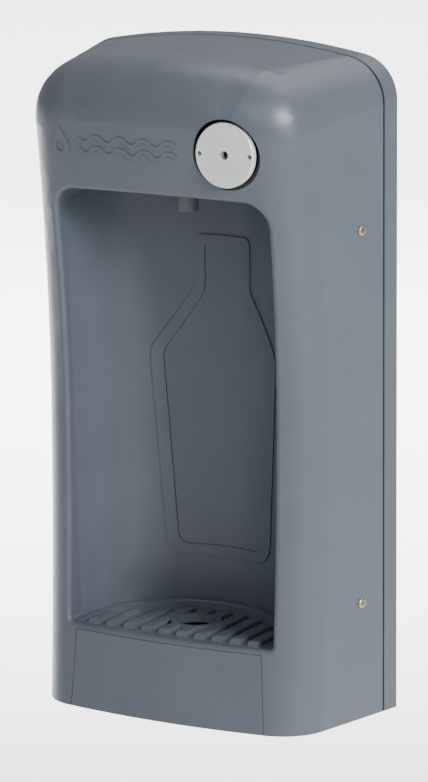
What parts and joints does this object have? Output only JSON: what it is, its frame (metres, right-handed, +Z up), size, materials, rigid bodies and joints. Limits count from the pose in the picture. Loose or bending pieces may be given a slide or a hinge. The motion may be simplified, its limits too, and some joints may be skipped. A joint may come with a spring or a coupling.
{
  "type": "wall-mounted bottle-filling fountain",
  "caption": "Wall-hung bottle-filling fountain with a bowed front, a round-backed bottle alcove, a push button, a spout in the ceiling and a ribbed tray over a drain.",
  "frame": {"origin": "the wall plane, on the middle line, at the height of the housing bottom edge", "axes": "+X to the right seen from the front, +Y back into the wall, +Z up; the front faces -Y"},
  "size_m": [0.288, 0.1445, 0.538],
  "materials": {
    "cover": "fine-textured slate grey moulding",
    "frame": "fine-textured slate grey moulding",
    "zinc": "zinc plated",
    "screw_brass": "plated, dull",
    "button_steel": "fine satin",
    "stainless": "satin",
    "spout_plastic": "satin grey",
    "black_plastic": "black moulding",
    "white_plastic": "white moulding",
    "seal_rubber": "black rubber",
    "brass": "machined",
    "chrome_plate": "polished plating",
    "copper": "drawn copper tube",
    "water_hose": "formed polymer tube"
  },
  "bodies": {
    "housing": {"front_shroud": "cover", "access_panel": "cover", "back_frame": "frame", "side_tabs": "zinc", "valve_bracket": "zinc", "bracket_screws": "zinc", "panel_screws": "zinc", "tube_clips": "zinc", "side_screws": "screw_brass", "drain_body": "stainless", "drain_strainer": "stainless", "button_spring": "stainless", "flow_straightener": "stainless", "inline_strainer": "stainless", "spout_nozzle": "spout_plastic", "button_sleeve": "black_plastic", "sleeve_locknut": "black_plastic", "drain_locknut": "black_plastic", "spout_locknut": "black_plastic", "waste_elbow": "white_plastic", "waste_nut": "white_plastic", "drain_gasket": "seal_rubber", "spout_gasket": "seal_rubber", "stem_seal": "seal_rubber", "valve_body": "brass", "valve_bonnet": "brass", "compression_nuts": "brass", "supply_stop": "chrome_plate", "stop_packing_nut": "chrome_plate", "supply_tube": "copper", "outlet_tube": "water_hose"},
    "button": {"button_face": "button_steel", "button_stem": "stainless"},
    "adjuster": {"flow_adjuster": "brass"},
    "stop_lever": {"stop_handle": "chrome_plate"},
    "tray": {"drip_tray": "cover"}
  },
  "joints": [
    {"name": "button_press", "type": "slide", "parent": "housing", "child": "button", "axis": [0, 1, 0], "range_m": [0, 0.0045], "stiffness_N_per_m": 900, "springref_m": -0.004, "deforming": ["button_spring"]},
    {"name": "adjuster_turn", "type": "hinge", "parent": "button", "child": "adjuster", "pos_m": [0.067, -0.124, 0.4625], "axis": [0, 1, 0], "range_deg": [0, 270]},
    {"name": "stop_turn", "type": "hinge", "parent": "housing", "child": "stop_lever", "pos_m": [0.112, -0.05, 0.045], "axis": [0, 1, 0], "range_deg": [0, 90]},
    {"name": "tray_lift", "type": "slide", "parent": "housing", "child": "tray", "axis": [0, 0, 1], "range_m": [0, 0.06]}
  ]
}
